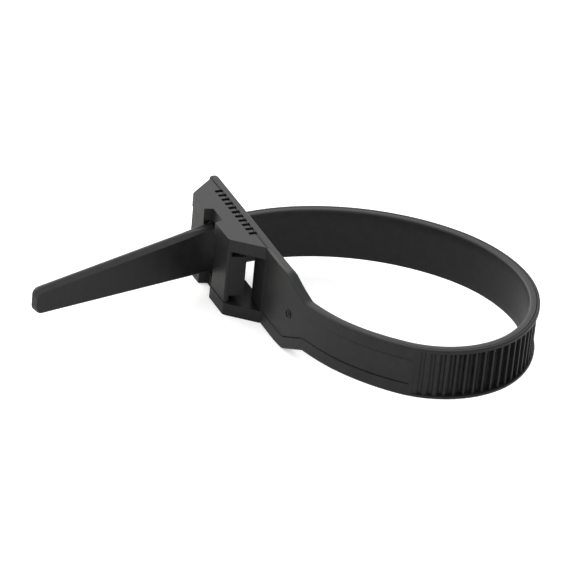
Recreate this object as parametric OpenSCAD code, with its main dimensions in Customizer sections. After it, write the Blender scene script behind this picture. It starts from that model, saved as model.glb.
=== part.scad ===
// One-piece moulded cable tie with teeth on the outside of its strap, closed into a loop.
// The plate runs along X, the strap leaves it at +X, goes round on the +Y side and comes back
// through the head, and the tapered tail points away at -Y. Z is the width of the strap.
// The origin is on the flat underside of the head, below the middle of the plate's thickness.
// All sizes are in millimetres.

/* [Strap] */
// Width of the strap
strap_w = 9; // [8:0.1:10]
// Thickness of the strap and of the plate
strap_t = 1.8; // [1.6:0.05:2.1]
// Bevel along the four long edges of the strap
edge_bevel = 0.3; // [0.1:0.05:0.5]

/* [Teeth] */
// Distance from one tooth to the next
tooth_pitch = 1.575; // [1.5:0.025:1.7]
// Width of the flat floor of a groove
groove_floor = 0.5; // [0.42:0.02:0.54]
// Depth of a full groove below the rails
groove_depth = 0.95; // [0.8:0.05:1.05]
// How far the crests between full grooves lie below the rails
crest_drop = 0.3; // [0.1:0.05:0.4]
// Length along the strap of the sloping side of a full tooth
ramp_l = 0.72; // [0.64:0.02:0.76]
// How far the steep side of a tooth leans back for each millimetre of depth
wall_lean = 0.1; // [0.05:0.05:0.2]
// Plain rail left beside the grooves at each edge
rail_w = 0.6; // [0.5:0.05:0.9]
// Length along the strap from the plate's bend to the end of the first groove
teeth_from = 31.35; // [27:0.05:36]
// Number of grooves over which the depth grows to its full value
run_in = 6; // [2:1:8]
// Length of toothed strap beyond the last bend
teeth_past = 5; // [4:0.5:6]

/* [Loop] */
// Radius of the bend that leaves the plate
root_r = 36.5; // [32:0.5:42]
// Turn of the bend that leaves the plate, in degrees
root_turn = 17.6; // [14:0.2:22]
// Radius of the front of the loop
front_r = 31.6; // [27:0.2:35]
// Turn of the front of the loop, in degrees
front_turn = 30; // [26:0.5:34]
// Radius of the far end of the loop
end_r = 15.8; // [14.5:0.1:17.5]
// Turn of the far end of the loop, in degrees
end_turn = 80.5; // [75:0.5:86]
// Turn of the bend that follows the far end, in degrees
corner_turn = 55; // [50:0.5:60]
// Radius of the back of the loop
back_r = 26; // [23:0.5:30]
// Turn of the back of the loop, in degrees
back_turn = 34; // [30:0.5:38]
// Radius of the last bend, which runs into the head
entry_r = 32; // [28:0.5:36]
// Turn of the last bend, in degrees
entry_turn = 27; // [22:0.5:31]
// Length of flat plate from the middle of the head to the first bend
plate_reach = 16.6; // [15:0.1:18]

/* [Head] */
// Thickness of each of the two side bars, along the width of the strap
bar_t = 2.2; // [1.8:0.1:2.4]
// Gap between the strap and each side bar
side_gap = 0.4; // [0.25:0.05:0.6]
// Length of the block's outer face
block_l = 15.8; // [15:0.1:17]
// Depth of the block in front of the plate
block_d = 4.95; // [4.6:0.05:5.4]
// Slope of the block's two end faces, in degrees
block_slope = 50; // [46:1:54]
// Small bevel on the upright corners of the block
corner_bevel = 0.3; // [0.1:0.05:0.5]
// How far the plate runs on past the block at its free end
plate_lip = 1.1; // [0.8:0.1:1.6]
// Offset of the strap's passage from the middle of the block
passage_x = -0.25; // [-0.6:0.05:0]
// Length of the mouth of the passage on the outer face
mouth_l = 4.75; // [4.5:0.05:5.2]
// Length of the floor of the notch behind the mouth
notch_floor_l = 3.9; // [3.7:0.05:4.2]
// Depth of the notch in the side bars
notch_d = 1.45; // [1.2:0.05:1.7]
// How much further the opening in the plate reaches at each side than the gap between the bars
opening_step = 0.4; // [0.2:0.05:0.6]

/* [Locking tongues] */
// Thickness of the outer wall that carries a tongue
wall_t = 0.85; // [0.7:0.05:1]
// How far that wall is set back from the side bars
wall_inset = 0.12; // [0.05:0.01:0.2]
// Gap between a tongue and the rail of the strap at each side
rail_gap = 0.25; // [0.15:0.05:0.4]
// Gap between a tongue and the plate
tongue_gap = 1.7; // [1.4:0.05:2]
// How far the end face of a tongue leans out towards the plate
tongue_flare = 0.6; // [0.2:0.1:0.9]
// Lean of the strap where it passes the head, in degrees
strap_lean = 15; // [12:0.5:17]
// Gap between the teeth of the strap and the tongue
lock_gap = 0.1; // [0.06:0.01:0.14]
// Depth inside the head at which the strap becomes straight
straight_from = 1.7; // [1.2:0.1:2.2]

/* [Ladder pockets] */
// Number of pockets along the joint of block and plate
pocket_n = 11; // [7:1:11]
// Distance from one pocket to the next
pocket_pitch = 1.45; // [1.4:0.05:1.5]
// Length of a pocket across the joint
pocket_l = 1.45; // [1.2:0.05:1.6]
// Width of a pocket
pocket_w = 0.75; // [0.5:0.05:0.9]
// Thickness of the floor left under a pocket
pocket_floor = 0.5; // [0.4:0.1:1]
// Part of a pocket that lies in the plate
pocket_in_plate = 0.4; // [0.2:0.05:0.6]
// Width and depth of the fine line between block and plate
seam_w = 0.16; // [0.1:0.02:0.24]

/* [Plate] */
// Distance from the middle of the head to where the plate starts to narrow
wide_to = 20.3; // [19:0.1:22]
// Length over which the plate narrows to the strap
taper_l = 5.3; // [4.5:0.1:6.5]
// Margin between the edges and the shallow panel on the outer side
panel_margin = 2.2; // [1.6:0.1:2.4]
// Depth of that panel
panel_d = 0.12; // [0.06:0.02:0.2]
// Plain strap between the end of the panel and the first groove
panel_gap = 2; // [1.6:0.1:2.6]
// Outer radius of the round mould mark on the plate
mark_r = 0.75; // [0.5:0.05:0.9]
// Width of the ring of that mark
mark_ring = 0.16; // [0.1:0.02:0.24]
// Height of the mark above the plate
mark_h = 0.06; // [0.04:0.02:0.12]
// Distance of the mark from the start of the first bend
mark_from = 5.5; // [4:0.5:7]
// Radius of the corners where the plate starts to narrow
taper_r = 2; // [1:0.5:3]

/* [Tail] */
// Length of the straight tail past the last bend
tail_l = 37.4; // [33:0.2:44]
// Width of the tail at its tip
tip_w = 4.2; // [3.6:0.1:5]
// Radius of the two corners of the tip
tip_r = 1.3; // [0.8:0.1:1.6]

/* [Hidden] */
$fn = 64;

// How far a cutting shape runs past what it cuts, and how far joined shapes reach into each other
cut = 1;
lap = 0.25;

tunnel_h = strap_w + 2 * side_gap;
head_h = tunnel_h + 2 * bar_t;
mid_z = head_h / 2;
opening_h = tunnel_h + 2 * opening_step;
tongue_h = strap_w - 2 * rail_w - 2 * rail_gap;
pocket_d = bar_t - pocket_floor;
base_l = block_l + 2 * block_d / tan(block_slope);

// The strap's middle line meets the outer face of the head so that its teeth lie beside the tongue
exit_x = passage_x - mouth_l / 2 + strap_t / 2 / cos(strap_lean);
run_end = [exit_x - (block_d - straight_from) * tan(strap_lean), -straight_from];
run_start = [plate_reach, strap_t / 2];
total_turn = 270 + strap_lean;
known_turn = root_turn + front_turn + end_turn + corner_turn + back_turn + entry_turn;
turns = [root_turn, front_turn, end_turn, corner_turn, back_turn, total_turn - known_turn, entry_turn];
CORNER = 3;
SHOULDER = 5;

function sum(v, n) = n <= 0 ? 0 : v[n - 1] + sum(v, n - 1);
function heading(i) = sum(turns, i);
function chord(i) = [sin(heading(i + 1)) - sin(heading(i)), cos(heading(i)) - cos(heading(i + 1))];

// Two of the bends take the radii that bring the strap back to the head: each bend moves the
// strap's end along its own chord, which leaves two equations for the two radii
given = [root_r, front_r, end_r, 0, back_r, 0, entry_r];
function reach(i) = i <= 0 ? [0, 0] : given[i - 1] * chord(i - 1) + reach(i - 1);
rest = run_end - run_start - reach(len(given));
det = chord(CORNER)[0] * chord(SHOULDER)[1] - chord(CORNER)[1] * chord(SHOULDER)[0];
corner_r = (rest[0] * chord(SHOULDER)[1] - rest[1] * chord(SHOULDER)[0]) / det;
shoulder_r = (rest[1] * chord(CORNER)[0] - rest[0] * chord(CORNER)[1]) / det;
radii = [root_r, front_r, end_r, corner_r, back_r, shoulder_r, entry_r];

function bend_start(i) = i <= 0 ? run_start : bend_start(i - 1) + radii[i - 1] * chord(i - 1);
function bend_centre(i) = bend_start(i) + radii[i] * [-sin(heading(i)), cos(heading(i))];
bend_len = [for (i = [0 : len(radii) - 1]) radii[i] * turns[i] * PI / 180];
run_len = sum(bend_len, len(radii));

// Place and heading of the strap's middle line at a length from the first bend
function bend_at(l, i = 0) = i >= len(radii) || l < sum(bend_len, i + 1) ? i : bend_at(l, i + 1);
function turned(l, i) = i < len(radii) ? (l - sum(bend_len, i)) / radii[i] * 180 / PI : 0;
function angle_at(l) = heading(bend_at(l)) + turned(l, bend_at(l));
function place_at(l) = bend_at(l) < len(radii)
    ? bend_centre(bend_at(l)) + radii[bend_at(l)] * [sin(angle_at(l)), -cos(angle_at(l))]
    : run_end + (l - run_len) * [cos(total_turn), sin(total_turn)];

groove_n = floor((run_len + teeth_past - teeth_from) / tooth_pitch);
function groove_l(i) = teeth_from + i * tooth_pitch;
function growth(i) = min(1, (i + 2) / (run_in + 1));

module at_length(l) {
    translate([place_at(l)[0], place_at(l)[1], mid_z])
        rotate([0, 0, angle_at(l)])
            children();
}

// Bevelled section of the strap: X across its thickness, Y along its width
module strap_section(w, proud = 0) {
    t = strap_t / 2 + proud;
    h = w / 2 + proud;
    b = edge_bevel;
    polygon([
        [t, h - b], [t - b, h], [b - t, h], [-t, h - b],
        [-t, b - h], [b - t, -h], [t - b, -h], [t, b - h],
    ]);
}

module bend(i, w) {
    translate([bend_centre(i)[0], bend_centre(i)[1], mid_z])
        rotate([0, 0, heading(i) - 90])
            rotate_extrude(angle = turns[i], $fn = 180)
                translate([radii[i], 0])
                    strap_section(w);
}

// Hair-thin collar where one bend meets the next, which makes them one solid
module collar(l) {
    proud = 0.01;
    half = 0.05;
    at_length(l)
        translate([-half, 0, 0])
            rotate([0, 90, 0])
                rotate([0, 0, 90])
                    linear_extrude(height = 2 * half)
                        strap_section(strap_w, proud);
}

// Side view of the plate, X by Z, with every edge moved in by a margin; it narrows until its
// corners lie inside the bevelled strap
module plate_outline(from, margin) {
    slope = atan((head_h - strap_w) / 2 / taper_l);
    r = max(taper_r - margin, 0.1);
    back = (r + margin) * tan(slope / 2);
    low = (head_h - strap_w) / 2 + margin;
    end = wide_to + taper_l + edge_bevel / tan(slope);
    for (side = [0, 1])
        translate([0, side * head_h])
            mirror([0, side, 0]) {
                polygon([
                    [from, margin], [wide_to - back, margin],
                    [wide_to - back + r * sin(slope), margin + r * (1 - cos(slope))],
                    [end, low + edge_bevel], [end, mid_z], [from, mid_z],
                ]);
                translate([wide_to - back, margin + r])
                    circle(r = r);
            }
}

module along_y(y0, y1) {
    translate([0, y1, 0])
        rotate([90, 0, 0])
            linear_extrude(height = y1 - y0)
                children();
}

plate_end = base_l / 2 + plate_lip;

// Flat plate with a round nose at its free end
module plate() {
    nose = strap_t / 2;
    h = head_h / 2;
    translate([nose - plate_end, nose, mid_z]) {
        rotate([0, 90, 0])
            rotate([0, 0, 90])
                linear_extrude(height = plate_end - nose + plate_reach)
                    strap_section(head_h);
        rotate([0, 0, 90])
            rotate_extrude(angle = 180, $fn = 90)
                polygon([
                    [0, -h], [nose - edge_bevel, -h], [nose, edge_bevel - h],
                    [nose, h - edge_bevel], [nose - edge_bevel, h], [0, h],
                ]);
    }
}

// Plate and first bend at the height of the head, cut to the outline that narrows to the strap
module root() {
    intersection() {
        union() {
            plate();
            bend(0, head_h);
        }
        along_y(-cut, bend_start(1)[1] + strap_t)
            plate_outline(-plate_end - cut, 0);
    }
}

// Thin layer on the outer side of plate and strap, between the block and the first groove, with a
// hair-thin deeper line where its parts meet
module panel_layer() {
    deeper = 0.01;
    half = 0.05;
    for (i = [0 : 1]) {
        at_length(sum(bend_len, i))
            translate([-half, -strap_t / 2 - cut, -mid_z])
                cube([2 * half, cut + panel_d + deeper, head_h]);
        sweep = min(turns[i], (teeth_from - panel_gap - sum(bend_len, i)) / radii[i] * 180 / PI);
        translate([bend_centre(i)[0], bend_centre(i)[1], 0])
            rotate([0, 0, heading(i) - 90])
                rotate_extrude(angle = sweep, $fn = 180)
                    translate([radii[i] + strap_t / 2 - panel_d, 0])
                        square([panel_d + cut, head_h]);
    }
    translate([base_l / 2, -cut, 0])
        cube([plate_reach - base_l / 2, panel_d + cut, head_h]);
}

// The shallow panel: that layer, a margin away from every edge
module panel() {
    low = (head_h - strap_w) / 2 + panel_margin;
    intersection() {
        panel_layer();
        along_y(-2 * cut, place_at(teeth_from)[1] + cut)
            union() {
                plate_outline(base_l / 2, panel_margin);
                translate([base_l / 2, low])
                    square([place_at(teeth_from)[0] - base_l / 2, head_h - 2 * low]);
            }
    }
}

// Outline of a groove, or of what fits in it with a gap all round: the long slope of one tooth, the
// floor, and the steep side of the next tooth, at length 0; the share is 1 for a full groove
function groove_outline(share, gap, above) =
    let (slope = ramp_l / (share * (groove_depth - crest_drop)),
         floor_y = strap_t / 2 - share * groove_depth + gap,
         rise = strap_t / 2 + above - floor_y,
         start = gap * (sqrt(1 + slope * slope) - slope) - groove_floor)
    [[start - slope * rise, -floor_y - rise], [start, -floor_y],
     [-gap, -floor_y], [wall_lean * rise - gap, -floor_y - rise]];

module groove(share, length) {
    translate([0, 0, -length / 2])
        linear_extrude(height = length)
            polygon(groove_outline(share, 0, lap));
}

// Thin layer taken off the crest in front of a groove
module crest_cut(share, length) {
    crest_l = tooth_pitch - groove_floor - ramp_l;
    translate([-crest_l / 2 - lap / 2, -strap_t / 2 - lap, -length / 2])
        cube([crest_l + lap, share * crest_drop + lap, length]);
}

module strap() {
    difference() {
        union() {
            for (i = [0 : len(radii) - 1])
                bend(i, strap_w);
            for (i = [0 : len(radii)])
                collar(sum(bend_len, i));
            tail();
        }
        for (i = [0 : groove_n - 1]) {
            at_length(groove_l(i))
                groove(growth(i), strap_w - 2 * rail_w);
            at_length(groove_l(i) - (tooth_pitch + groove_floor + ramp_l) / 2)
                crest_cut(growth(i), strap_w - 2 * rail_w);
        }
        panel();
    }
}

// Straight tail: a bevelled bar whose width falls evenly to the tip
module tail() {
    slice = 0.02;
    at_length(run_len)
        intersection() {
            hull() {
                rotate([0, 90, 0])
                    rotate([0, 0, 90])
                        linear_extrude(height = slice)
                            strap_section(strap_w);
                translate([tail_l - slice, 0, 0])
                    rotate([0, 90, 0])
                        rotate([0, 0, 90])
                            linear_extrude(height = slice)
                                strap_section(tip_w);
            }
            along_y(-strap_t, strap_t)
                tail_outline();
        }
}

module tail_outline() {
    h = strap_w;
    translate([-cut, -h])
        square([tail_l - tip_r + cut, 2 * h]);
    translate([tail_l - tip_r - cut, -tip_w / 2 + tip_r])
        square([tip_r + cut, tip_w - 2 * tip_r]);
    for (s = [-1, 1])
        translate([tail_l - tip_r, s * (tip_w / 2 - tip_r)])
            circle(r = tip_r);
}

// Plan of a side bar: a trapezium with its upright corners bevelled and the notch cut out
module bar_plan() {
    b = corner_bevel;
    a = block_l / 2;
    e = base_l / 2;
    run = b * cos(block_slope);
    rise = b * sin(block_slope);
    difference() {
        polygon([
            [-e, 0], [-a - run, -block_d + rise], [-a + b, -block_d],
            [a - b, -block_d], [a + run, -block_d + rise], [e, 0],
            [e, lap], [-e, lap],
        ]);
        translate([passage_x, -block_d])
            polygon([
                [-mouth_l / 2 - cut * (mouth_l - notch_floor_l) / 2 / notch_d, -cut],
                [mouth_l / 2 + cut * (mouth_l - notch_floor_l) / 2 / notch_d, -cut],
                [notch_floor_l / 2, notch_d], [-notch_floor_l / 2, notch_d],
            ]);
    }
}

module side_bars() {
    for (z = [0, head_h - bar_t])
        translate([0, 0, z])
            linear_extrude(height = bar_t)
                bar_plan();
}

// Distance of a tongue's face from the middle of the head; it leans as the strap does
function face_x(side, y) =
    side * passage_x + mouth_l / 2 + lock_gap / cos(strap_lean) + (y + block_d) * tan(strap_lean);

// Plan of the outer wall or of the tongue behind it, from the passage to the block's end
module tongue_plan(side, to_y, flare, teeth) {
    y0 = wall_inset - block_d;
    end = block_l / 2;
    polygon(concat([
        [face_x(side, y0), y0], [end - corner_bevel, y0], [end, y0 + corner_bevel],
        [end + flare, to_y], [face_x(side, to_y), to_y],
    ], teeth));
}

function turn(p, a) = [p[0] * cos(a) - p[1] * sin(a), p[0] * sin(a) + p[1] * cos(a)];

// Outline of a tongue's teeth, each standing in one groove of the strap with a gap all round; only
// whole teeth that fit between the tongue's two ends are made
function tooth_points(i) = [
    for (p = groove_outline(1, lock_gap, lock_gap)) place_at(groove_l(i)) + turn(p, angle_at(groove_l(i)))
];
function lock_teeth(side) = [
    for (i = [0 : groove_n - 1])
        let (tooth = tooth_points(i))
        if (tooth[3][1] > wall_inset - block_d && tooth[0][1] < -tongue_gap)
            for (p = tooth) [(1 + side) * passage_x - p[0], p[1]]
];

// Wall and tongue on both sides of the passage
module tongues() {
    for (side = [-1, 1])
        mirror([side < 0 ? 1 : 0, 0, 0]) {
            translate([0, 0, bar_t - lap])
                linear_extrude(height = tunnel_h + 2 * lap)
                    tongue_plan(side, wall_inset + wall_t - block_d, 0, []);
            translate([0, 0, mid_z - tongue_h / 2])
                linear_extrude(height = tongue_h)
                    tongue_plan(side, -tongue_gap, tongue_flare, lock_teeth(side));
        }
}

module pockets() {
    for (z = [-cut, head_h - pocket_d], i = [0 : pocket_n - 1])
        translate([passage_x + (i - (pocket_n - 1) / 2) * pocket_pitch - pocket_w / 2,
                   pocket_in_plate - pocket_l, z])
            cube([pocket_w, pocket_l, pocket_d + cut]);
}

module seams() {
    for (z = [-cut, head_h - seam_w])
        translate([-plate_end - cut, 0, z])
            cube([plate_end + cut + base_l / 2, seam_w, seam_w + cut]);
}

module opening() {
    translate([-block_l / 2, -cut / 2, (head_h - opening_h) / 2])
        cube([block_l, strap_t + cut, opening_h]);
}

// Plain raised ring that the mould leaves on the outer side
module mould_mark() {
    at_length(mark_from)
        along_y(-strap_t / 2 - mark_h, 0)
            difference() {
                circle(r = mark_r);
                circle(r = mark_r - mark_ring);
            }
}

// The modules above count Y from the plate's outer side; here the plate is set astride the X axis
module cable_tie() {
    color("#2c2d2c")
        translate([0, -strap_t / 2, 0]) {
            difference() {
                union() {
                    root();
                    side_bars();
                }
                opening();
                pockets();
                seams();
                panel();
            }
            tongues();
            strap();
            mould_mark();
        }
}

cable_tie();
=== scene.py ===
import math

import bmesh
import bpy
import numpy as np
from mathutils import Matrix, Vector


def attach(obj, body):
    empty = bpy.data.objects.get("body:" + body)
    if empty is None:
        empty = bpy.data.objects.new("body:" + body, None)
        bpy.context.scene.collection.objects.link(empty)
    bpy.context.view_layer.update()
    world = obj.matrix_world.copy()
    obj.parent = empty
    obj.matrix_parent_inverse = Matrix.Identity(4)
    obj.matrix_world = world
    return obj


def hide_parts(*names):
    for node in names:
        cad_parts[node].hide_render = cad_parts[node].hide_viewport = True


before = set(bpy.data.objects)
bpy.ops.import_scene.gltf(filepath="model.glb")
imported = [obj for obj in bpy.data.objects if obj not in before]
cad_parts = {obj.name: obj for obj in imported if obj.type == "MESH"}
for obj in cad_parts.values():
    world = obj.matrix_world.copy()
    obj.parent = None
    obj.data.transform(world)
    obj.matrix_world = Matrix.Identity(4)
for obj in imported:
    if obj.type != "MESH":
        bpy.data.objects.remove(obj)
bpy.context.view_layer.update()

# Camera: the photograph looks down at 30 degrees past the tail and the head's near end, turned a
# little clockwise, with a long lens. The distance and the lens were fitted to the strap's edges.
azimuth = math.radians(64.0)
elevation = math.radians(30.0)
roll = math.radians(5.59)
distance = 0.6512
look_at = Vector((0.01331, 0.00269, 0.00712))
level = math.cos(elevation)
towards_camera = Vector((math.sin(azimuth) * level, -math.cos(azimuth) * level, math.sin(elevation)))
lens = bpy.data.cameras.new("camera")
lens.lens = 251.3
lens.sensor_width = 36.0
lens.clip_end = 10.0
camera = bpy.data.objects.new("camera", lens)
bpy.context.scene.collection.objects.link(camera)
aim = (-towards_camera).to_track_quat("-Z", "Y").to_matrix() @ Matrix.Rotation(roll, 3, "Z")
camera.rotation_mode = "QUATERNION"
camera.rotation_quaternion = aim.to_quaternion()
camera.location = look_at + distance * towards_camera
bpy.context.scene.camera = camera
bpy.context.scene.view_settings.view_transform = "Standard"

# Path of the band. The tie is one nylon moulding, made straight and then bent by hand: the flat
# plate, seven bends that follow each other without a kink, and the straight tail behind the head.
# Lengths are in millimetres from the plate's round nose, along the middle of the thickness.
mm = 0.001
strap_w = 9.0
strap_t = 1.8
half_t = strap_t / 2
head_h = 14.2
mid_z = head_h / 2
nose_x = -13.15
plate_reach = 16.6
tail_l = 37.4
lean = math.radians(15.0)
passage_x = -0.25
mouth_l = 4.75
block_front = -5.85
straight_y = -2.6
turns = np.radians([17.6, 30.0, 80.5, 55.0, 34.0, 40.9, 27.0])
radii = np.array([36.5, 31.6, 15.8, 0.0, 26.0, 0.0, 32.0])

# Each bend moves the band's end by its radius times its chord, so two radii follow from the two
# coordinates of the place where the band becomes straight inside the head. Plan points are
# complex numbers, x + iy, and a heading is an angle from +x.
exit_x = passage_x - mouth_l / 2 + half_t / math.cos(lean)
straight_from = exit_x - (straight_y - block_front) * math.tan(lean) + 1j * straight_y
headings = np.concatenate([[0.0], np.cumsum(turns)])
chords = (np.exp(1j * headings[1:]) - np.exp(1j * headings[:-1])) / 1j
to_go = straight_from - plate_reach - np.sum(radii * chords)
radii[[3, 5]] = np.linalg.solve([chords[[3, 5]].real, chords[[3, 5]].imag], [to_go.real, to_go.imag])

plate_l = plate_reach - nose_x
part_l = np.concatenate([[plate_l], radii * turns, [tail_l]])
part_from = np.concatenate([[0.0], np.cumsum(part_l)])
band_l = part_from[-1]
tail_from = part_from[-2]
part_curve = np.concatenate([[0.0], 1 / radii, [0.0]])
part_heading = np.concatenate([[0.0], headings])
bends_place = nose_x + plate_l + np.cumsum(np.concatenate([[0], radii * chords]))
part_place = np.concatenate([[nose_x], bends_place])


def on_path(s):
    """Place and heading at length s: a straight step, or along an arc of curvature k the step
    (exp(i k d) - 1) / (i k), turned to the heading of the arc's start."""
    part = np.clip(np.searchsorted(part_from, s, side="right") - 1, 0, len(part_l) - 1)
    d = s - part_from[part]
    k = part_curve[part]
    bent = np.where(k > 0, k, 1.0)
    step = np.where(k > 0, (np.exp(1j * bent * d) - 1) / (1j * bent), d)
    return part_place[part] + np.exp(1j * part_heading[part]) * step, part_heading[part] + k * d


# Band: the plate, the strap with its cross teeth, and the tail, in matt black nylon. It is one
# grid of cross sections along the path, with rounded edges, and the strap's opening in the plate
# is left out of the grid and walled.
tooth_pitch = 1.575
groove_floor = 0.5
ramp_l = 0.72
groove_depth = 0.95
crest_drop = 0.3
below_crest = groove_depth - crest_drop
first_side = plate_l + 31.35
teeth_past = 5
groove_n = int((tail_from + teeth_past - first_side) // tooth_pitch)
steep_sides = first_side + tooth_pitch * np.arange(groove_n)
rail_w = 0.6
run_in = 7
first_share = 3
near = 0.035
nose_corner_r = 0.5
shoulder_r = 0.3
bends_l = 14
tail_slope_l = 3
tail_slope_w = 4.22
tip_w = 4.3
tip_r = 1.1
tip_edge_r = 0.25
opening_x = 7.9
opening_inset = 1.8
narrow_from = 20.3
narrow_to = 25.6
panel_depth = 0.12
panel_inset = 2.2
panel_ends = (25.2, first_side - 2)
panel_fade = 2.0


def groove_profile(s):
    """Depth below the rails at length s. Going back from each tooth's steep side come the flat
    floor, the long slope up the tooth before, and that tooth's crest, which lies a little below
    the rails. The first grooves take a growing share of the full depth, a seventh more each."""
    k = np.ceil((s - first_side) / tooth_pitch)
    share = np.clip((k + first_share) / run_in, 0, 1) * (k >= 0) * (k < groove_n)
    before = first_side + k * tooth_pitch - s
    climbed = np.clip((before - groove_floor) / ramp_l, 0, share)
    return share * crest_drop + below_crest * (share - climbed)


def soft_profile(s):
    """Mean of the depth a little before, at and after s, which rounds every corner of a tooth."""
    return (groove_profile(s - near) + 2 * groove_profile(s) + groove_profile(s + near)) / 4


def quarter_round(to_end, r):
    """How far a quarter circle of radius r has cut in, at the distance to_end from its end."""
    left = np.clip(r - to_end, 0, r)
    return r - np.sqrt(r**2 - left**2)


def half_width(s):
    """Half the band's width: the head's height on the plate, narrowing in a straight line to the
    strap with both corners rounded, and again evenly along the tail to a tip. The nose and the tip
    end in quarter circles, and the tip's edge is rounded once more."""
    x = on_path(s)[0].real
    around = np.linspace(-shoulder_r, shoulder_r, 7)[:, None]
    line = np.interp(x + around, [narrow_from, narrow_to], [mid_z, strap_w / 2]).mean(axis=0)
    tail_w = [strap_w / 2, tail_slope_w, tip_w / 2]
    tail = np.interp(s, [tail_from, tail_from + tail_slope_l, band_l], tail_w)
    w = np.where(s < plate_l + bends_l, line, tail)
    return (w - quarter_round(band_l - s, tip_r) - quarter_round(s, nose_corner_r)
            - quarter_round(band_l - s, tip_edge_r))


def half_thickness(s):
    """Half the thickness: a half circle at the plate's nose, a quarter circle at the tip's end."""
    return half_t - quarter_round(s, half_t) - quarter_round(band_l - s, tip_edge_r)


# Rows of the grid along the path: close together where the shape changes quickly, which on each
# tooth is round its steep side, at both ends of its slope and at the end of its crest
nose_rows = half_t * (1 - np.cos(np.radians(np.arange(12, 91, 13))))
plate_rows = np.concatenate([np.arange(1.5, plate_l, 1.25), opening_x * np.array([-1, 1]) - nose_x])
root_rows = np.concatenate([np.arange(plate_l, first_side - 2, 0.5), panel_ends,
                            np.array(panel_ends) + 0.05, [first_side - tooth_pitch - 0.05]])
before_side = np.array([-0.06, -0.03, 0, 0.03, 0.06, 0.26, 0.44, 0.5, 0.56,
                        0.74, 0.98, 1.16, 1.22, 1.28, 1.4])
tooth_rows = (steep_sides[:, None] - before_side).ravel()
tail_rows = np.arange(steep_sides[-1] + 0.4, band_l - 1.6, 1.5)
tip_rows = band_l - np.array([1.45, 1.3, 1.1, 0.9, 0.7, 0.55, 0.4, 0.3, 0.2, 0.12, 0.06, 0.02, 0])
rows = np.unique(np.round(np.concatenate(
    [nose_rows, plate_rows, root_rows, tooth_rows, tail_rows, tip_rows]), 3))
least_step = 0.012
rows = rows[np.concatenate([[True], np.diff(rows) > least_step])]
opening_rows = [int(np.argmin(np.abs(rows - x + nose_x))) for x in (-opening_x, opening_x)]

place, heading = on_path(rows)
w = half_width(rows)[:, None]
t = half_thickness(rows)[:, None]


def along(stations, values):
    """The value at each row, from values at stations joined by straight lines, as a column."""
    return np.interp(rows, stations, values)[:, None]


# Radii of the section's four corners. The outer two are crisp on the plate and softest between it
# and the teeth, and the inner two are soft up to there. Beside the teeth all are small, and on the
# tail the upper ones grow again.
outer_r = along([0, 1.5, 25.2, 26.2, 31, 34, 46, 56, 60, tail_from + 3, tail_from + 8],
                [0.35, 0.2, 0.2, 0.45, 0.5, 0.75, 0.7, 0.4, 0.28, 0.28, 0.42])
inner_r = along([0, 31, 46, 56, tail_from + 3, tail_from + 8], [0.8, 0.75, 0.65, 0.28, 0.28, 0.42])
under_r = along([31, 36, 52, 60], [0.2, 0.45, 0.45, 0.28])
under_inner_r = along([31, 36, 52, 60], [0.4, 0.6, 0.5, 0.28])
largest = 0.8 * t
outer_r, inner_r, under_r, under_inner_r = (
    np.minimum(r, largest) for r in (outer_r, inner_r, under_r, under_inner_r))

# The outer face has points at fixed insets from the edge, which shrink where the band is narrower
# than the tip. The grooves lie inside the rails, and the shallow panel and the fine line of its
# step inside the panel's own inset.
fit = np.minimum(1, w / (tip_w / 2 + 0.05))
panel_step = 0.1
groove_wall = 0.04
insets = np.array([panel_inset + 2 * panel_step, panel_inset + panel_step, panel_inset,
                   opening_inset, rail_w + groove_wall, rail_w])
least_insets = np.array([0.12, 0.1, 0.08, 0.06, 0.05, 0.01])
sunk = soft_profile(rows)[:, None] * (insets > rail_w)
in_panel = (rows > panel_ends[0]) & (rows < panel_ends[1] + 0.02)
panel = panel_depth * in_panel * np.clip((panel_ends[1] - rows) / panel_fade, 0, 1)
panel = panel[:, None] * (insets > panel_inset)
step_line = along([plate_l, plate_l + 8], [0.06, 0.16]) * in_panel[:, None] * (insets == insets[1])
arc = np.radians([0, 22.5, 45, 67.5, 90])

# The narrow edge has four points from the outer corner, at -1, to the inner one, at 1. The second
# is sunk where the mould's two halves met. Along the tail the inner corner turns into a flat
# bevel, which is stretched over most of the thickness until the tip.
parting_at = -0.56
edge = parting_at + np.array([-0.12, 0, 0.12, 0.86])
parting = along([24, 26, 31, 52, 60, tail_from, tail_from + 8], [0.08, 0.05, 0, 0, 0.14, 0.14, 0])
flatness = along([31, 33, tail_from, tail_from + 4], [0, 0.4, 0.4, 1])
stretch = along([tail_from + 3, tail_from + 8], [1, 2.6])
stretch = 1 + (stretch - 1) * np.clip((t - tip_edge_r) / 0.5, 0, 1)


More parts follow.
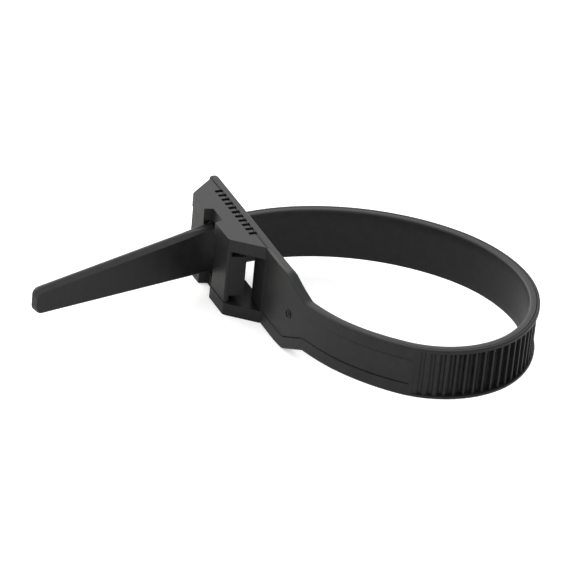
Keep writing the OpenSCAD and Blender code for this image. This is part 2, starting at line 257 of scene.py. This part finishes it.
def half_ring(corner_r, inner_r, stretch, line_share):
    """Heights and distances of half a section, from the middle of the outer face over one narrow
    edge to the middle of the inner face: face points, a quarter circle at each corner, the inner
    one flattened and stretched to a bevel along the tail, and between them the narrow edge with the
    mould's parting line. The distance n is counted from the middle line, inwards positive."""
    outer_z = w - np.maximum(insets * fit, corner_r + least_insets)
    outer_n = -t + sunk + panel + line_share * step_line
    outer_arc_z = w - corner_r + corner_r * np.sin(arc)
    outer_arc_n = -t + corner_r - corner_r * np.cos(arc)
    edge_from = -t + corner_r
    edge_n = edge_from + (t - inner_r * stretch - edge_from) * (edge + 1) / 2
    edge_z = w - parting * (edge == parting_at)
    bevel = np.linspace(1, 0, len(arc))
    inner_arc_z = w - inner_r + inner_r * (np.sin(arc[::-1]) * (1 - flatness) + bevel * flatness)
    towards_face = np.cos(arc[::-1]) * (1 - flatness) + (1 - bevel) * flatness
    inner_arc_n = t - inner_r * stretch * (1 - towards_face)
    inner_z = w - np.maximum(opening_inset * fit, inner_r + least_insets[3])
    z = np.hstack([0 * w, outer_z, outer_arc_z, edge_z, inner_arc_z, inner_z, 0 * w])
    n = np.hstack([outer_n[:, :1], outer_n, outer_arc_n, edge_n, inner_arc_n, t, t])
    return z, n


upper_z, upper_n = half_ring(outer_r, inner_r, stretch, 0.4)
lower_z, lower_n = half_ring(under_r, under_inner_r, 1, 1)
ring_z = np.hstack([upper_z, -lower_z[:, -2:0:-1]])
ring_n = np.hstack([upper_n, lower_n[:, -2:0:-1]])
flat = place[:, None] + 1j * np.exp(1j * heading[:, None]) * ring_n
band_points = np.stack([flat.real, flat.imag, mid_z + ring_z], axis=2) * mm

# Faces of the grid. The opening's faces are left out, from the middle of the outer face to its
# fourth point, which is the opening's rim, and four walls join the outer and the inner rim.
row_n, ring_l = ring_z.shape
half_l = upper_z.shape[1]
i, j = np.meshgrid(np.arange(row_n - 1), np.arange(ring_l), indexing="ij")
nxt = (j + 1) % ring_l
this_row = i * ring_l
next_row = this_row + ring_l
quads = np.stack([this_row + j, this_row + nxt, next_row + nxt, next_row + j], axis=2)
rim = 4
from_outer = (j < rim) | (j >= ring_l - rim)
from_inner = (j >= half_l - 2) & (j < half_l)
in_opening = (i >= opening_rows[0]) & (i < opening_rows[1]) & (from_outer | from_inner)
band_faces = quads[~in_opening].tolist()
low, high = opening_rows
run = np.arange(low, high)
for outer, inner in ((rim, half_l - 2), (ring_l - rim, half_l)):
    band_faces += np.stack([run * ring_l + outer, (run + 1) * ring_l + outer,
                            (run + 1) * ring_l + inner, run * ring_l + inner], axis=1).tolist()
outer_rim = np.concatenate([np.arange(ring_l - rim, ring_l), np.arange(0, rim + 1)])
inner_rim = np.array([half_l, half_l - 1, half_l - 2])
for row in (low, high):
    band_faces.append((row * ring_l + np.concatenate([outer_rim, inner_rim[::-1]])).tolist())
band_faces.append(np.arange(ring_l).tolist())
band_faces.append(((row_n - 1) * ring_l + np.arange(ring_l)).tolist())


def closed_mesh(name, points, faces):
    """A mesh from points and faces, without unused points, its faces turned outwards."""
    mesh = bpy.data.meshes.new(name)
    mesh.from_pydata(points.reshape(-1, 3).tolist(), [], faces)
    shell = bmesh.new()
    shell.from_mesh(mesh)
    unused = [v for v in shell.verts if not v.link_faces]
    bmesh.ops.delete(shell, geom=unused, context="VERTS")
    bmesh.ops.recalc_face_normals(shell, faces=shell.faces)
    shell.to_mesh(mesh)
    shell.free()
    piece = bpy.data.objects.new(name, mesh)
    bpy.context.scene.collection.objects.link(piece)
    return piece


band = closed_mesh("cable_tie_moulding", band_points, band_faces)

# Locking head: a block moulded on the plate's outer side. Two side bars with a notch for the strap
# hold an outer wall on each side of the passage, and each wall carries a tongue with one tooth.
bar_t = 2.2
block_l = 15.8
outer_face = -half_t
block_base = outer_face + 0.08
block_slope = math.radians(50.0)
block_d = outer_face - block_front
base_l = block_l + 2 * block_d / math.tan(block_slope)
corner = 0.3
notch_floor_l = 3.9
notch_d = 1.45
soft_edge = 0.13


def prism(name, outline, low, high):
    """Points and faces of an upright prism on a plan outline, as a closed piece."""
    n = len(outline)
    points = np.vstack([np.column_stack([outline, np.full(n, z)]) for z in (low, high)]) * mm
    k = np.arange(n)
    sides = np.stack([k, (k + 1) % n, (k + 1) % n + n, k + n], axis=1).tolist()
    return closed_mesh(name, points, sides + [k.tolist(), (k + n).tolist()])


def soften(piece, width):
    """Round the piece's sharp edges, and keep the result as its mesh."""
    round_edges = piece.modifiers.new("soft_edges", "BEVEL")
    round_edges.width = width * mm
    round_edges.segments = 2
    round_edges.limit_method = "ANGLE"
    round_edges.angle_limit = math.radians(35)
    keep_result(piece)
    return piece


def keep_result(piece):
    """Make what the modifiers give the piece's own mesh."""
    bpy.context.view_layer.update()
    done = bpy.data.meshes.new_from_object(piece.evaluated_get(bpy.context.evaluated_depsgraph_get()))
    piece.modifiers.clear()
    piece.data = done


half_block = block_l / 2
half_base = base_l / 2
corner_x = half_block + corner * math.cos(block_slope)
corner_y = block_front + corner * math.sin(block_slope)
half_mouth = mouth_l / 2
half_notch = notch_floor_l / 2
notch_y = block_front + notch_d
bar_outline = np.array([
    [-half_base, outer_face], [-corner_x, corner_y], [-half_block + corner, block_front],
    [passage_x - half_mouth, block_front], [passage_x - half_notch, notch_y],
    [passage_x + half_notch, notch_y], [passage_x + half_mouth, block_front],
    [half_block - corner, block_front], [corner_x, corner_y], [half_base, outer_face],
    [half_base, block_base], [-half_base, block_base],
])
head_parts = [
    soften(prism("bar_low", bar_outline, 0, bar_t), soft_edge),
    soften(prism("bar_high", bar_outline, head_h - bar_t, head_h), soft_edge),
]

# Walls and tongues: the passage's sides lean as the strap does, a tenth of a millimetre from it
wall_front = block_front + 0.12
wall_back = wall_front + 0.85
tongue_from = wall_front + 0.4
tongue_to = -2.6
tongue_h = 7.3
tongue_foot = half_block - 0.05
tongue_back = half_block + 0.6
tongue_edge = 0.06
tongue_skin = 0.01
tooth_room = 1.3
lap = 0.2
lock_gap = 0.1


def face_x(y):
    """Distance of a passage side from the middle of the passage at a depth in the head."""
    return half_mouth + lock_gap / math.cos(lean) + (y - block_front) * math.tan(lean)


# Each tongue has one tooth, which stands in a whole groove of the strap: its outline is the
# groove's, a lock gap smaller all round, as lengths along the strap and distances from its middle
ramp_run = ramp_l / below_crest
tooth_low = half_t - groove_depth + lock_gap
tooth_top = half_t + lock_gap
tooth_start = lock_gap * (math.hypot(1, ramp_run) - ramp_run) - groove_floor
tooth_end = tooth_start - ramp_run * (tooth_top - tooth_low)
tooth_along = np.array([tooth_end, tooth_start, -lock_gap, -0.1 * lock_gap])
tooth_out = np.array([tooth_top, tooth_low, tooth_low, tooth_top])
tooth_foot, tooth_heading = on_path(steep_sides)
in_reach = (tooth_foot.imag > wall_front) & (tooth_foot.imag < tongue_to - tooth_room)
held = np.flatnonzero(in_reach)[:1]
tooth = tooth_foot[held] + (tooth_along - 1j * tooth_out) * np.exp(1j * tooth_heading[held])
for side in (-1, 1):
    wall = np.array([
        [passage_x + side * face_x(wall_front), wall_front],
        [side * (half_block - corner), wall_front], [side * half_block, wall_front + corner],
        [side * half_block, wall_back], [passage_x + side * face_x(wall_back), wall_back],
    ])
    head_parts.append(soften(prism("wall", wall, bar_t - lap, head_h - bar_t + lap), soft_edge))
    tooth_x = tooth.real if side < 0 else 2 * passage_x - tooth.real
    tongue = np.vstack([
        [[passage_x + side * (face_x(tongue_from) + tongue_skin), tongue_from]],
        np.column_stack([tooth_x, tooth.imag])[::-1],
        [[passage_x + side * (face_x(tongue_to) + tongue_skin), tongue_to]],
        [[side * tongue_back, tongue_to], [side * tongue_foot, tongue_from]],
    ])
    tongue_piece = prism("tongue", tongue, mid_z - tongue_h / 2, mid_z + tongue_h / 2)
    head_parts.append(soften(tongue_piece, tongue_edge))

# Mould mark: a faint ring with a dot in its middle, raised a little from the plate's outer side
mark_s = plate_l + 4.7
mark_place, mark_heading = on_path(np.array([mark_s]))
mark_foot = mark_place + 1j * outer_face * np.exp(1j * mark_heading)
mark_sunk = 0.1
mark_h = 0.015
for inner_radius, outer_radius in ((0.58, 0.75), (0.0, 0.2)):
    around = np.radians(np.arange(0, 360, 10))[:, None]
    radius = np.array([inner_radius, inner_radius, outer_radius, outer_radius])
    height = np.array([-mark_sunk, mark_h, mark_h, -mark_sunk])
    if inner_radius == 0:
        radius, height = radius[2:], height[2:]
    sideways = radius * np.cos(around)
    spot = mark_foot + (sideways - 1j * height) * np.exp(1j * mark_heading)
    ring = np.stack([spot.real, spot.imag, mid_z + radius * np.sin(around)], axis=2) * mm
    n_around, n_profile = sideways.shape
    i, j = np.meshgrid(np.arange(n_around), np.arange(n_profile if inner_radius else 1), indexing="ij")
    nxt = (i + 1) % n_around
    turn = (j + 1) % n_profile
    here = i * n_profile
    there = nxt * n_profile
    faces = np.stack([here + j, here + turn, there + turn, there + j], axis=2).reshape(-1, 4).tolist()
    if inner_radius == 0:
        faces += [(np.arange(n_around) * n_profile + c).tolist() for c in (0, 1)]
    head_parts.append(closed_mesh("mould_mark", ring, faces))

# Pockets and seam: a ladder of small pockets runs along the joint of block and plate on both
# narrow sides, and a fine moulded line marks the joint itself. They are cut into the moulding.
pocket_n = 11
pocket_pitch = 1.45
pocket_w = 0.75
pocket_y = (-1.95, -0.5)
pocket_d = 1.7
seam = 0.16
spare = 0.5


def boxes(name, lows, highs):
    """Closed boxes between low and high corners, as one piece."""
    n = len(lows)
    pick = np.array([[0, 0, 0], [1, 0, 0], [1, 1, 0], [0, 1, 0],
                     [0, 0, 1], [1, 0, 1], [1, 1, 1], [0, 1, 1]])
    points = lows[:, None] + (highs - lows)[:, None] * pick
    around = np.array([[0, 3, 2, 1], [4, 5, 6, 7], [0, 1, 5, 4],
                       [1, 2, 6, 5], [2, 3, 7, 6], [3, 0, 4, 7]])
    faces = (around[None] + 8 * np.arange(n)[:, None, None]).reshape(-1, 4).tolist()
    return closed_mesh(name, points * mm, faces)


pocket_x = passage_x + (np.arange(pocket_n) - (pocket_n - 1) / 2) * pocket_pitch - pocket_w / 2
one = np.ones(pocket_n)
pocket_low = np.vstack([np.column_stack([pocket_x, one * pocket_y[0], one * z])
                        for z in (-spare, head_h - pocket_d)])
pocket_high = pocket_low + [pocket_w, pocket_y[1] - pocket_y[0], pocket_d + spare]
seam_low = np.array([[nose_x - spare, outer_face, z] for z in (-spare, head_h - seam)])
seam_high = seam_low + [half_base - nose_x + spare, seam, seam + spare]
cut_parts = [boxes("pockets", pocket_low, pocket_high), boxes("seams", seam_low, seam_high)]

# The mould joins all of it: the head's parts are united with the band and the pockets cut out.
# The parts' large faces are cut into triangles first, so that no pocket is lost in one of them.
for part in head_parts + cut_parts:
    facets = part.modifiers.new("facets", "TRIANGULATE")
    facets.min_vertices = 5
    keep_result(part)
for part, operation in [(p, "UNION") for p in head_parts] + [(p, "DIFFERENCE") for p in cut_parts]:
    join = band.modifiers.new(part.name, "BOOLEAN")
    join.operation = operation
    join.object = part
    join.solver = "EXACT"
keep_result(band)
for part in head_parts + cut_parts:
    bpy.data.objects.remove(part)
joined = bmesh.new()
joined.from_mesh(band.data)
many_sided = [f for f in joined.faces if len(f.verts) > 4]
bmesh.ops.triangulate(joined, faces=many_sided, ngon_method="EAR_CLIP")
bmesh.ops.remove_doubles(joined, verts=joined.verts, dist=1e-7)
joined.to_mesh(band.data)
joined.free()
band.data.polygons.foreach_set("use_smooth", np.ones(len(band.data.polygons), dtype=bool))
band.data.set_sharp_from_angle(angle=math.radians(25))
even_normals = band.modifiers.new("even_normals", "WEIGHTED_NORMAL")
even_normals.keep_sharp = True
keep_result(band)

# Nylon: near-black and matt, slightly mottled, with a fine moulded grain
nylon = bpy.data.materials.new("black_nylon")
nylon.use_nodes = True
nodes = nylon.node_tree.nodes
links = nylon.node_tree.links
surface = nodes["Principled BSDF"]
surface.inputs["IOR"].default_value = 1.5
surface.inputs["Specular IOR Level"].default_value = 0.26
place_on = nodes.new("ShaderNodeTexCoord")
mottle = nodes.new("ShaderNodeTexNoise")
mottle.inputs["Scale"].default_value = 700
mottle.inputs["Detail"].default_value = 4
tint = nodes.new("ShaderNodeMixRGB")
tint.inputs["Color1"].default_value = (0.007, 0.007, 0.0072, 1)
tint.inputs["Color2"].default_value = (0.018, 0.0182, 0.0175, 1)
shine = nodes.new("ShaderNodeMapRange")
shine.inputs["To Min"].default_value = 0.34
shine.inputs["To Max"].default_value = 0.48
grain = nodes.new("ShaderNodeTexNoise")
grain.inputs["Scale"].default_value = 4200
grain.inputs["Detail"].default_value = 3
bump = nodes.new("ShaderNodeBump")
bump.inputs["Strength"].default_value = 0.12
bump.inputs["Distance"].default_value = 0.00005
links.new(place_on.outputs["Object"], mottle.inputs["Vector"])
links.new(place_on.outputs["Object"], grain.inputs["Vector"])
links.new(mottle.outputs["Fac"], tint.inputs["Fac"])
links.new(mottle.outputs["Fac"], shine.inputs["Value"])
links.new(tint.outputs["Color"], surface.inputs["Base Color"])
links.new(shine.outputs["Result"], surface.inputs["Roughness"])
links.new(grain.outputs["Fac"], bump.inputs["Height"])
links.new(bump.outputs["Normal"], surface.inputs["Normal"])
band.data.materials.clear()
band.data.materials.append(nylon)
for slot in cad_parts["cable_tie"].material_slots:
    slot.material = nylon
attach(band, "root")
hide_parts("cable_tie")

# Studio: a plain pale floor, which the camera sees a little lighter than it is
floor_size = 2.0
floor_mesh = bpy.data.meshes.new("floor")
floor_mesh.from_pydata([(-floor_size, -floor_size, 0), (floor_size, -floor_size, 0),
                        (floor_size, floor_size, 0), (-floor_size, floor_size, 0)], [], [(0, 1, 2, 3)])
floor = bpy.data.objects.new("floor", floor_mesh)
bpy.context.scene.collection.objects.link(floor)
paper = bpy.data.materials.new("white_paper")
paper.use_nodes = True
paper_surface = paper.node_tree.nodes["Principled BSDF"]
paper_surface.inputs["Base Color"].default_value = (0.77, 0.765, 0.745, 1)
paper_surface.inputs["Roughness"].default_value = 0.9
paper_surface.inputs["Emission Color"].default_value = (1, 1, 1, 1)
seen = paper.node_tree.nodes.new("ShaderNodeLightPath")
lift = paper.node_tree.nodes.new("ShaderNodeMath")
lift.operation = "MULTIPLY"
lift.inputs[1].default_value = 0.45
paper.node_tree.links.new(seen.outputs["Is Camera Ray"], lift.inputs[0])
paper.node_tree.links.new(lift.outputs[0], paper_surface.inputs["Emission Strength"])
floor_mesh.materials.append(paper)

# Soft light: an even room, a large soft light low on the tail's side and a weaker one overhead.
# Each of the two is the fourth power of the cosine between the direction looked at and its own.
room_light = (0.77, 0.79, 0.82)
soft_lights = [((-0.8, -0.35, 0.49), (3.5, 3.45, 3.3)), ((0.0, 0.0, 1.0), (0.34, 0.35, 0.37))]
sharpness = 4
studio = bpy.data.worlds.new("studio")
bpy.context.scene.world = studio
studio.use_nodes = True
sky = studio.node_tree.nodes
wires = studio.node_tree.links
looked_at = sky.new("ShaderNodeTexCoord")
so_far = sky.new("ShaderNodeVectorMath")
so_far.inputs[0].default_value = room_light
for direction, colour in soft_lights:
    cosine = sky.new("ShaderNodeVectorMath")
    cosine.operation = "DOT_PRODUCT"
    cosine.inputs[1].default_value = Vector(direction).normalized()
    in_front = sky.new("ShaderNodeMath")
    in_front.operation = "MAXIMUM"
    in_front.inputs[1].default_value = 0
    lobe = sky.new("ShaderNodeMath")
    lobe.operation = "POWER"
    lobe.inputs[1].default_value = sharpness
    light = sky.new("ShaderNodeVectorMath")
    light.operation = "SCALE"
    light.inputs[0].default_value = colour
    both = sky.new("ShaderNodeVectorMath")
    wires.new(looked_at.outputs["Generated"], cosine.inputs[0])
    wires.new(cosine.outputs["Value"], in_front.inputs[0])
    wires.new(in_front.outputs["Value"], lobe.inputs[0])
    wires.new(lobe.outputs["Value"], light.inputs["Scale"])
    wires.new(so_far.outputs["Vector"], both.inputs[0])
    wires.new(light.outputs["Vector"], both.inputs[1])
    so_far = both
wires.new(so_far.outputs["Vector"], sky["Background"].inputs["Color"])
